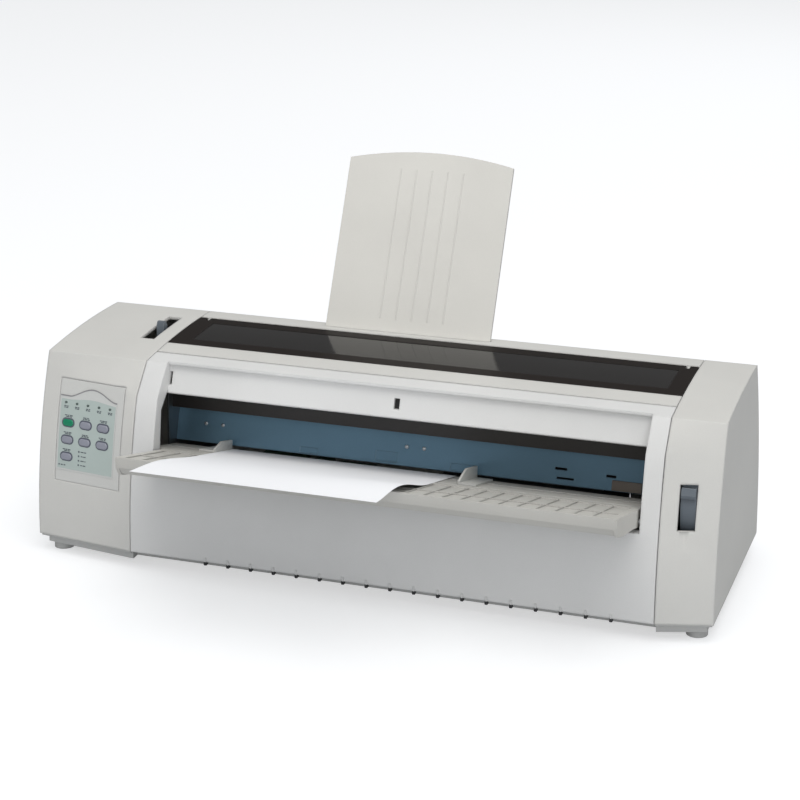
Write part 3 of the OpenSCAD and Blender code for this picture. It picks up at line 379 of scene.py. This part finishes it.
# The deck shares the tray's finish, with its painted shade in the corners.
moulding("paper_deck", tray_ivory, "root", "guide")
moulding("left_paper_guide", guide_ivory, "left_paper_guide", "guide")
moulding("right_paper_guide", guide_ivory, "right_paper_guide", "guide")
moulding("tear_bar", dark_plastic, "root", "dark")


# ---- sheet of paper ----
# One sheet of A4 paper lies across the tray and the deck, with its right edge lifted in a slight curl.
# It moves with the front cover.

MARGIN, WAVE_RISE, CURL_RISE, WAVE_END = 0.0002, 0.0022, 0.0036, 0.62
paper_white = grained_with_painted_light("paper_white", screen(246, 247, 250), rough=0.85, grain=0.0006,
                   depth=0.00002, cloud=0.01, rim=0.0, edge=0.0001, specular=0.2)
resting = merged("paper_sheet")
surface = BVHTree.FromBMesh(resting)
sheet_low, sheet_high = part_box("paper_sheet")
width = sheet_high.x - sheet_low.x - 2 * MARGIN
length = sheet_high.y - sheet_low.y - 2 * MARGIN
bm = bmesh.new()
bmesh.ops.create_grid(bm, x_segments=42, y_segments=60, size=0.5)
for vert in bm.verts:
    across, along = vert.co.x + 0.5, vert.co.y + 0.5
    x = sheet_low.x + MARGIN + across * width
    y = sheet_low.y + MARGIN + along * length
    hit = surface.ray_cast(Vector((x, y, 1)), Vector((0, 0, -1)))[0]
    wave = math.sin(math.pi * min(1, along / WAVE_END) ** 0.9) ** 2
    vert.co = (x, y, hit.z + (WAVE_RISE + CURL_RISE * across ** 2) * wave)
resting.free()
shade(bm, turn=60)
bmesh.ops.recalc_face_normals(bm, faces=bm.faces)
sheet = piece_from(bm, "sheet_of_paper", paper_white, "front_cover", "paper", "paper_sheet")
thickness = sheet.modifiers.new("thickness", "SOLIDIFY")
thickness.thickness = 0.00025
thickness.offset = -1
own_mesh(sheet)


# ---- base pan and feet ----
# The folded steel pan is painted grey, a little darker than the casings, and closes the body from below.
# Four grey rubber feet are pressed into its corners.

rubber = grained_with_painted_light("black_rubber", screen(52, 52, 54), rough=0.8, cloud=0.1, rim=0.04)
foot_grey = grained_with_painted_light("foot_grey", screen(186, 186, 184), rough=0.75, cloud=0.06, rim=0.04)
pan_grey = grained_with_painted_light("pan_grey", screen(190, 190, 188), rough=0.5, cloud=0.06)
moulding("base_pan", pan_grey, "root", "plate")
moulding("feet", foot_grey, "root", "rubber")


# ---- hinge pins ----
# Turned pins of bright steel carry the smoked cover, the front cover and the manual tray.
# Each is pressed into the moulding beside it.

steel = grained_with_painted_light("bright_steel", screen(186, 188, 190), rough=0.32, metal=1.0, cloud=0.05,
             grain=0.0009, depth=0.00001, rim=0.1, edge=0.0004, stretch=(0.05, 1, 1))


def paint(material, *names):
    """Gives a CAD node's own slots a finish."""
    for name in names:
        for slot in nodes[name].material_slots:
            slot.material = material


paint(steel, "cover_hinge_pins", "front_hinge_pins", "tray_hinge_pins")


# ---- rib end shade caps ----
# Dark blocks in the black rubber finish cap the small ribs along the front cover's lower edge: painted
# shade, since the ribs' ends stand in shadow.
# They move with the cover as it tips forward.

SHADE_CAP_COUNT, SHADE_CAP_FIRST, SHADE_CAP_PITCH, SHADE_CAP_HALF = 18, -0.1372, 0.0212, 0.0014
SHADE_CAP_FRONT, SHADE_CAP_BACK, SHADE_CAP_FOOT, SHADE_CAP_HEAD, SHADE_CAP_ROUND = -0.0634, -0.0592, 0.0130, 0.0163, 0.0006


def cuboid(bm, low, high, rounding=0.0, segments=2):
    """A block between two corners, with its edges rounded where asked."""
    verts = bmesh.ops.create_cube(bm, size=1)["verts"]
    low, high = Vector(low), Vector(high)
    for vert in verts:
        vert.co = [low[i] + (vert.co[i] + 0.5) * (high[i] - low[i]) for i in range(3)]
    if rounding:
        edges = dict.fromkeys(edge for vert in verts for edge in vert.link_edges)
        rounded(bm, list(edges), rounding, segments)


bm = bmesh.new()
for number in range(SHADE_CAP_COUNT):
    x = SHADE_CAP_FIRST + number * SHADE_CAP_PITCH
    cuboid(bm, (x - SHADE_CAP_HALF, SHADE_CAP_FRONT, SHADE_CAP_FOOT), (x + SHADE_CAP_HALF, SHADE_CAP_BACK, SHADE_CAP_HEAD),
           SHADE_CAP_ROUND, segments=3)
shade(bm, turn=35)
piece_from(bm, "rib_end_shade_caps", rubber, "front_cover", "rubber")


# ---- side frames and electronics ----
# Two galvanised steel side frames stand on the pan and carry the whole print mechanism.
# Steel screws hold the rods between them, and the green glass-epoxy main board on the pan.
# The power supply sits in a galvanised box of its own.

# This steel is coloured far darker than bare zinc: painted shade for the dim inside of the body.
galvanised_with_painted_shade = grained_with_painted_light("galvanised_with_painted_shade", screen(104, 106, 108), rough=0.48, metal=0.85, cloud=0.14,
                  grain=0.0012, depth=0.00001, rim=0.06, edge=0.0004)
board_green = grained_with_painted_light("board_green", screen(34, 92, 62), rough=0.35, cloud=0.12)
moulding("left_frame", galvanised_with_painted_shade, "root", "plate")
moulding("right_frame", galvanised_with_painted_shade, "root", "plate")
moulding("screws", steel, "root", "steel")
moulding("main_board", board_green, "root", "board")
moulding("power_supply", galvanised_with_painted_shade, "root", "plate")


# ---- platen and feed drive ----
# The platen is a black rubber roller on a steel shaft, which turns in two brass bushes.
# A motor with a brass pinion drives it through a white plastic gear.

gear_white = grained_with_painted_light("gear_white", screen(226, 222, 206), rough=0.4, rim=0.05)
brass = grained_with_painted_light("brass", screen(200, 168, 96), rough=0.3, metal=1.0)
moulding("platen_bushes", brass, "root", "brass")
moulding("platen_shaft", steel, "platen", "steel")
moulding("platen_roller", rubber, "platen", "rubber")
moulding("platen_gear", gear_white, "platen", "gear")
moulding("feed_motor", dark_plastic, "root", "dark")
moulding("motor_pinion", brass, "motor_pinion", "brass")


# ---- tractors ----
# Two black plastic tractors slide along a steel rod, and a steel shaft with a white gear drives them.
# Each has a hinged door that closes over the edge of the form.

moulding("tractor_rod", steel, "root", "steel")
moulding("tractor_shaft", steel, "tractor_drive", "steel")
moulding("tractor_gear", gear_white, "tractor_drive", "gear")
for side in ("left", "right"):
    moulding(side + "_tractor", dark_plastic, side + "_tractor", "dark")
    moulding(side + "_tractor_door", dark_plastic, side + "_tractor_door", "dark")


# ---- carriage ----
# The carriage is black plastic and runs along a steel rod, with the steel print head and the ribbon.
# A motor pulls it by a rubber belt that runs round two white pulleys.

moulding("carriage_rod", steel, "root", "steel")
moulding("carriage", dark_plastic, "carriage", "dark")
moulding("print_head", steel, "carriage", "steel")
moulding("ribbon_cartridge", dark_plastic, "carriage", "dark")
moulding("carriage_motor", dark_plastic, "root", "dark")
moulding("drive_pulley", gear_white, "drive_pulley", "gear")
moulding("idler_pulley", gear_white, "idler_pulley", "gear")
moulding("carriage_belt", rubber, "root", "rubber")


# ---- rear connectors ----
# Pressed steel shells stand round the board's three interface connectors, over black moulded inserts.
# Their fine contacts and the mains inlet's three flat pins are brass.
# The inlet itself is black plastic, clipped into the rear cover.

BACK, CONNECTOR_FOOT = 0.15868, 0.030
CONNECTORS = ((-0.169, 0.046, 0.011), (-0.113, 0.016, 0.011), (-0.089, 0.034, 0.009))
SIDE_GAP, SHELL_IN, SHELL_OUT, SHELL_PAST, SHELL_FACE = 0.0004, 0.0052, 0.0022, 0.0002, 0.0004
LIP_WALL, LIP_REACH = 0.0008, 0.0018
INSERT_IN, INSERT_ROOT, INSERT_REACH = 0.0016, 0.0002, 0.0014
CONTACT_PITCH, CONTACT_HALF, CONTACT_ROOT, CONTACT_REACH = 0.0028, 0.0004, 0.0006, 0.0017
CONTACT_LOW, CONTACT_HIGH = 0.42, 0.58
PIN_SPOTS = ((0.2145, 0.0375), (0.2295, 0.0375), (0.222, 0.0455))
PIN_HALF_WIDE, PIN_HALF_TALL, PIN_ROOT, PIN_TIP = 0.001, 0.0022, 0.0192, 0.0050
socket_black = grained_with_painted_light("socket_black", screen(30, 30, 32), rough=0.45, cloud=0.08, edge=0.0002)
moulding("power_inlet", dark_plastic, "root", "dark")

shells, inserts, contacts = bmesh.new(), bmesh.new(), bmesh.new()
for left, wide, tall in CONNECTORS:
    low = Vector((left + SIDE_GAP, BACK - SHELL_IN, CONNECTOR_FOOT))
    high = Vector((left + wide - SIDE_GAP, BACK - SHELL_OUT, CONNECTOR_FOOT + tall))
    outer_low = low - Vector((SHELL_PAST, 0, SHELL_PAST))
    outer_high = high + Vector((SHELL_PAST, 0, SHELL_PAST))
    cuboid(shells, outer_low, outer_high + Vector((0, SHELL_FACE, 0)), rounding=0.0004)
    for x_low, x_high, z_low, z_high in (
        (outer_low.x, outer_high.x, outer_low.z, outer_low.z + LIP_WALL),
        (outer_low.x, outer_high.x, outer_high.z - LIP_WALL, outer_high.z),
        (outer_low.x, outer_low.x + LIP_WALL, low.z, high.z),
        (outer_high.x - LIP_WALL, outer_high.x, low.z, high.z),
    ):
        cuboid(shells, (x_low, high.y, z_low), (x_high, high.y + LIP_REACH, z_high), rounding=0.0002)
    cuboid(inserts, (low.x + INSERT_IN, high.y - INSERT_ROOT, low.z + INSERT_IN),
           (high.x - INSERT_IN, high.y + INSERT_REACH, high.z - INSERT_IN), rounding=0.0003)
    count = int(wide / CONTACT_PITCH)
    for number in range(count):
        x = low.x + (high.x - low.x) * (number + 1) / (count + 1)
        cuboid(contacts, (x - CONTACT_HALF, high.y + CONTACT_ROOT, low.z + tall * CONTACT_LOW),
               (x + CONTACT_HALF, high.y + CONTACT_REACH, low.z + tall * CONTACT_HIGH))
for x, z in PIN_SPOTS:
    cuboid(contacts, (x - PIN_HALF_WIDE, BACK - PIN_ROOT, z - PIN_HALF_TALL),
           (x + PIN_HALF_WIDE, BACK - PIN_TIP, z + PIN_HALF_TALL), rounding=0.0004)
for bm, name, material, slot in (
    (shells, "connector_shells", steel, "steel"),
    (inserts, "connector_inserts", socket_black, "dark"),
    (contacts, "socket_contacts", brass, "brass"),
):
    shade(bm, turn=35)
    piece_from(bm, name, material, "root", slot)


# ---- rear cover screws ----
# Four pan-head screws of bright steel hold the rear cover to the frames.
# Their low heads stand on the cover's outer face, which leans in towards its top.

SCREW_ROUND = 0.0032
SCREW_SPOTS = ((-0.200, 0.024), (0.250, 0.024), (-0.200, 0.120), (0.250, 0.120))
BACK_LEAN, BACK_FOOT, BACK_RISE = 0.038, 0.016, 0.170
bm = bmesh.new()
for x, z in SCREW_SPOTS:
    y = BACK - BACK_LEAN * ((z - BACK_FOOT) / BACK_RISE) ** 2
    head = bmesh.ops.create_uvsphere(bm, u_segments=24, v_segments=12, radius=SCREW_ROUND)["verts"]
    for vert in head:
        vert.co = Vector((x, y, z)) + Vector((vert.co.x, vert.co.z * HEAD_FLAT, vert.co.y))
bmesh.ops.recalc_face_normals(bm, faces=bm.faces)
shade(bm, turn=50)
piece_from(bm, "rear_cover_screws", steel, "root", "steel")


# ---- mains switch ----
# The mains switch is a black plastic rocker that tips in the rear cover, beside the inlet.
# Its two faces carry a printed white bar and a printed white ring.

HUB_IN, HUB_HIGH, PRINT_OFF, PRINT_THICK = 0.008, 0.042, 0.00012, 0.0001
BAR_WIDE, BAR_SHARE, RING_OUTER, RING_INNER = 0.0009, 0.42, 0.0024, 0.0016
switch_white = grained_with_painted_light("switch_white", screen(226, 226, 224), rough=0.6, edge=0.0001, rim=0)
moulding("power_switch", dark_plastic, "power_switch", "dark")
switch_low, switch_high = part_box("power_switch")
hub = Vector(((switch_low.x + switch_high.x) / 2, BACK - HUB_IN, HUB_HIGH))
upper_face = (Vector((0, 0.0050, 0)), Vector((0, 0.0085, 0.0104)))
lower_face = (Vector((0, 0.0065, -0.0100)), Vector((0, 0.0050, 0)))
LOWER_FACE_LONG = 0.0101


def on_rocker(face, across, share):
    """A point just off one half of the rocker's face, a share of the way up it."""
    along = (face[1] - face[0]).normalized()
    out = Vector((0, along.z, -along.y))
    return hub + face[0] + (face[1] - face[0]) * share + Vector((across, 0, 0)) + out * PRINT_OFF


bm = bmesh.new()
bar = bmesh.ops.create_grid(bm, x_segments=1, y_segments=1, size=0.5)["verts"]
for vert in bar:
    vert.co = on_rocker(upper_face, vert.co.x * BAR_WIDE, 0.5 + vert.co.y * BAR_SHARE)
rings = [bmesh.ops.create_circle(bm, segments=28, radius=radius)["verts"]
         for radius in (RING_OUTER, RING_INNER)]
bmesh.ops.bridge_loops(bm, edges=[edge for edge in bm.edges if not edge.link_faces])
for ring in rings:
    for vert in ring:
        vert.co = on_rocker(lower_face, vert.co.x, 0.5 + vert.co.y / LOWER_FACE_LONG)
bmesh.ops.recalc_face_normals(bm, faces=bm.faces)
shade(bm, turn=50)
rocker_marks = piece_from(bm, "power_switch_marks", switch_white, "power_switch", "casing")
rocker_marks.modifiers.new("print", "SOLIDIFY").thickness = PRINT_THICK


# ---- levers ----
# Two blue-grey plastic levers stand through the casings and turn on their own pins.
# One sets the gap for thick forms, and the other chooses the paper path.

lever_blue = grained_with_painted_light("lever_blue", screen(98, 106, 114), rough=0.42, rim=0.12)
moulding("thickness_lever", lever_blue, "thickness_lever", "lever")
moulding("tractor_lever", lever_blue, "tractor_lever", "lever")


# ---- operator panel ----
# A set-in plastic bezel at the printer's left end carries a printed film over its own green board.
# The film is glued in: a grey border with an arched head and a pale green field, with a fine dark line
# of painted shadow along the arch's top.
# Each layer lies a little above the one under it.

FRONT_LEAN, SWEEP, CREASE_RISE = 0.03150, 0.13542, 0.16240
PANEL_FOOT = Vector((-0.305, -0.04932, 0.016))
FILM_LEFT, FILM_RIGHT, FILM_FOOT, FILM_SHOULDER = -0.2868, -0.2278, 0.0790, 0.1434
ARCH_MID, ARCH_REACH, ARCH_RISE = -0.2530, 0.0235, 0.0080
BORDER_LIFT, FIELD_LIFT, ARCH_SHADOW_LIFT = 0.00008, 0.0002, 0.00022
FIELD_IN_LEFT, FIELD_IN_RIGHT, FIELD_IN_FOOT, FIELD_IN_HEAD = 0.0012, 0.0010, 0.0016, 0.0026
FIELD_ARCH, ARCH_SHADOW_UNDER, ARCH_SHADOW_OVER = 0.25, 0.0004, 0.0007


def panel_at(x, z, lift):
    """A point on the casing's swept front, raised off it along its own normal."""
    rise = (z - PANEL_FOOT.z) / CREASE_RISE
    y = PANEL_FOOT.y + FRONT_LEAN * rise * rise - SWEEP * (x - PANEL_FOOT.x)
    out = Vector((-SWEEP, -1, 2 * FRONT_LEAN * rise / CREASE_RISE)).normalized()
    return Vector((x, y, z)) + out * lift


def film_head(x):
    """The height of the film's top edge, two shoulders with one soft arch between them."""
    away = min(1, abs(x - ARCH_MID) / ARCH_REACH)
    return FILM_SHOULDER + ARCH_RISE * math.cos(away * math.pi / 2) ** 1.5


def film_patch(bm, left, right, foot, head, lift, rows=24):
    """A patch of film on the panel's face, between two edges given as heights at x."""
    patch = bmesh.ops.create_grid(bm, x_segments=48, y_segments=rows, size=0.5)["verts"]
    for vert in patch:
        x = left + (vert.co.x + 0.5) * (right - left)
        low, high = foot(x), head(x)
        vert.co = panel_at(x, low + (vert.co.y + 0.5) * (high - low), lift)


def film_piece(bm, name, material, thickness):
    """Gives a patch of film its thickness, outwards from its back."""
    bmesh.ops.recalc_face_normals(bm, faces=bm.faces)
    if sum(face.normal.y * face.calc_area() for face in bm.faces) > 0:
        bmesh.ops.reverse_faces(bm, faces=bm.faces)
    shade(bm, turn=50)
    film = piece_from(bm, name, material, "root", "panel").modifiers.new("film", "SOLIDIFY")
    film.thickness = thickness
    film.offset = 1


bezel_grey = grained_with_painted_light("bezel_grey", screen(206, 206, 203), rough=0.5, edge=0.0007)
film_grey = grained_with_painted_light("film_grey", screen(204, 205, 203), rough=0.42, cloud=0.02,
                 grain=0.0003, depth=0.00001, rim=0.04, edge=0.0002)
film_green = grained_with_painted_light("film_green", screen(180, 192, 188), rough=0.38, cloud=0.02,
                  grain=0.0003, depth=0.00001, rim=0.04, edge=0.0002)
arch_shadow_grey = grained_with_painted_light("arch_shadow_grey", screen(142, 141, 143), rough=0.5, edge=0.0001, rim=0)
moulding("panel_bezel", bezel_grey, "root", "casing")
paint(board_green, "panel_board")

bm = bmesh.new()
film_patch(bm, FILM_LEFT, FILM_RIGHT, lambda x: FILM_FOOT, film_head, BORDER_LIFT)
film_piece(bm, "panel_border", film_grey, thickness=0.00012)
bm = bmesh.new()
film_patch(bm, FILM_LEFT + FIELD_IN_LEFT, FILM_RIGHT - FIELD_IN_RIGHT,
           lambda x: FILM_FOOT + FIELD_IN_FOOT,
           lambda x: FILM_SHOULDER - FIELD_IN_HEAD + FIELD_ARCH * (film_head(x) - FILM_SHOULDER),
           FIELD_LIFT)
film_piece(bm, "panel_overlay", film_green, thickness=0.0001)
# A thin dark strip along the arch's top is painted shadow of the raised arch.
bm = bmesh.new()
film_patch(bm, FILM_LEFT, FILM_RIGHT, lambda x: film_head(x) - ARCH_SHADOW_UNDER,
           lambda x: film_head(x) + ARCH_SHADOW_OVER, ARCH_SHADOW_LIFT, rows=1)
film_piece(bm, "panel_arch_shadow", arch_shadow_grey, thickness=0.00006)


# ---- panel keys ----
# Seven oval plastic keys stand through the film, the first of them green and the others grey.
# Each has a softly rounded rim, and stands on a slightly larger dark oval laid on the film, painted
# shade for the gap round the key.

FACE_RISE, KEY_TILT, RIM_BAND, RIM_ROUND = 0.0006, 0.208, 0.0006, 0.00135
GAP_SHADE_STRAIGHT, GAP_SHADE_ROUND, GAP_SHADE_LIFT = 0.0026, 0.0041, 0.00036
key_green = grained_with_painted_light("key_green", screen(24, 132, 96), rough=0.26, edge=0.0004)
key_grey = grained_with_painted_light("key_grey", screen(146, 148, 160), rough=0.28, edge=0.0004)
key_gap_shade = grained_with_painted_light("key_gap_shade", screen(92, 96, 108), rough=0.6, edge=0.0001, rim=0)
key_out = Vector((-SWEEP, -1, KEY_TILT)).normalized()
key_spots = []
for number in range(1, 8):
    key = f"button_{number}"
    low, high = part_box(key)
    key_spots.append(((low.x + high.x) / 2, (low.z + high.z) / 2 + FACE_RISE))
    bm = merged(key)
    bmesh.ops.dissolve_limit(bm, angle_limit=math.radians(0.5), verts=bm.verts, edges=bm.edges)
    front = max(vert.co.dot(key_out) for vert in bm.verts)
    rim = [edge for edge in bm.edges
           if all(front - vert.co.dot(key_out) < RIM_BAND for vert in edge.verts)]
    rounded(bm, rim, RIM_ROUND, segments=6)
    shade(bm, turn=50)
    tint, slot = (key_green, "green_key") if number == 1 else (key_grey, "grey_key")
    piece_from(bm, key + "_cap", tint, key, slot, key)

# The dark ovals under the keys are painted shade for the gaps round them.
bm = bmesh.new()
for spot_x, spot_z in key_spots:
    gap_shade = bmesh.ops.create_circle(bm, cap_ends=True, segments=36, radius=GAP_SHADE_ROUND)["verts"]
    for vert in gap_shade:
        across = vert.co.x + math.copysign(GAP_SHADE_STRAIGHT, vert.co.x)
        vert.co = panel_at(spot_x + across, spot_z + vert.co.y, GAP_SHADE_LIFT)
film_piece(bm, "key_gap_shadows", key_gap_shade, thickness=0.00005)


# ---- status lamps ----
# Five small lamps stand in a row under the film's arch, over the lights on the panel's board.
# They are low domes of tinted green plastic, glued in and unlit.

LAMP_COUNT, LAMP_LIFT = 5, 0.0003
LAMP_WIDE, LAMP_OUT, LAMP_TALL = 0.00145, 0.0005, 0.0013
lamp_green = grained_with_painted_light("lamp_green", screen(88, 100, 96), rough=0.22, edge=0.0002)
light_low, light_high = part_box("status_lights")
light_pitch = (light_high.x - light_low.x - 2 * LAMP_WIDE) / (LAMP_COUNT - 1)
light_z = (light_low.z + light_high.z) / 2 + FACE_RISE
lamp_across = [light_low.x + LAMP_WIDE + number * light_pitch for number in range(LAMP_COUNT)]
bm = bmesh.new()
for x in lamp_across:
    dome = bmesh.ops.create_uvsphere(bm, u_segments=20, v_segments=12, radius=1)["verts"]
    spot = panel_at(x, light_z, LAMP_LIFT)
    for vert in dome:
        vert.co = spot + Vector((vert.co.x * LAMP_WIDE, vert.co.y * LAMP_OUT, vert.co.z * LAMP_TALL))
shade(bm, turn=60)
piece_from(bm, "status_lamps", lamp_green, "root", "lamp", "status_lights")


# ---- panel marks ----
# Rows of short dashes are printed in grey on the film, beside the keys and the lamps.
# They keep the look of captions and a short list, and spell nothing.

MARK_LIFT, DASH_TALL, DASH_SPACE, MARK_SHIFT = 0.00042, 0.0008, 0.0006, 0.0004
UPPER_DASHES = ((0.0024, 0.0016, 0.0030), (0.0034, 0.0020), (0.0018, 0.0026, 0.0018))
LOWER_DASHES = ((0.0030, 0.0022), (0.0016, 0.0024, 0.0020), (0.0036, 0.0016))
LIST_DASHES = ((0.0030, 0.0022), (0.0020, 0.0026), (0.0034, 0.0012), (0.0018, 0.0030))
LAMP_DASHES = ((-0.0029, (0.0024, 0.0014)), (-0.0041, (0.0014, 0.0020)))
UPPER_ROW, LOWER_ROW = 0.0062, 0.0050
LIST_HEAD, LIST_PITCH, LIST_DOT_X, LIST_DASH_X, LIST_DOT = 0.0973, 0.0039, -0.2636, -0.2588, 0.0014
FOOT_X, FOOT_Z, FOOT_PITCH, FOOT_WIDE, FOOT_TALL = -0.2838, 0.0836, 0.0028, 0.0018, 0.0010
print_grey = grained_with_painted_light("print_grey", screen(92, 99, 106), rough=0.6, edge=0.0001, rim=0)


def printed(bm, x, z, width, height):
    """A small printed bar on the film."""
    square = bmesh.ops.create_grid(bm, x_segments=1, y_segments=1, size=0.5)["verts"]
    for vert in square:
        vert.co = panel_at(x + vert.co.x * width, z + vert.co.y * height, MARK_LIFT)


def dashes(bm, x, z, widths):
    """A row of printed dashes that is centred on x."""
    start = x - (sum(widths) + DASH_SPACE * (len(widths) - 1)) / 2
    for width in widths:
        printed(bm, start + width / 2, z, width, DASH_TALL)
        start += width + DASH_SPACE


bm = bmesh.new()
for number, (x, z) in enumerate(key_spots):
    dashes(bm, x, z + UPPER_ROW, UPPER_DASHES[number % len(UPPER_DASHES)])
    dashes(bm, x + MARK_SHIFT, z + LOWER_ROW, LOWER_DASHES[number % len(LOWER_DASHES)])
for x in lamp_across:
    for row, widths in LAMP_DASHES:
        dashes(bm, x + MARK_SHIFT, light_z + row, widths)
for row, widths in enumerate(LIST_DASHES):
    printed(bm, LIST_DOT_X, LIST_HEAD - row * LIST_PITCH, LIST_DOT, LIST_DOT)
    dashes(bm, LIST_DASH_X, LIST_HEAD - row * LIST_PITCH, widths)
for spot in range(3):
    printed(bm, FOOT_X + spot * FOOT_PITCH, FOOT_Z, FOOT_WIDE, FOOT_TALL)
film_piece(bm, "panel_marks", print_grey, thickness=0.00004)


# ---- paper support ----
# The rear support is one thin leaning panel of pale grey plastic with five fine raised lines.
# It stands in a slot at the back of the body and lifts out.

support_grey = grained_with_painted_light("support_grey", screen(216, 214, 208), rough=0.5)
moulding("paper_support", support_grey, "paper_support", "casing")
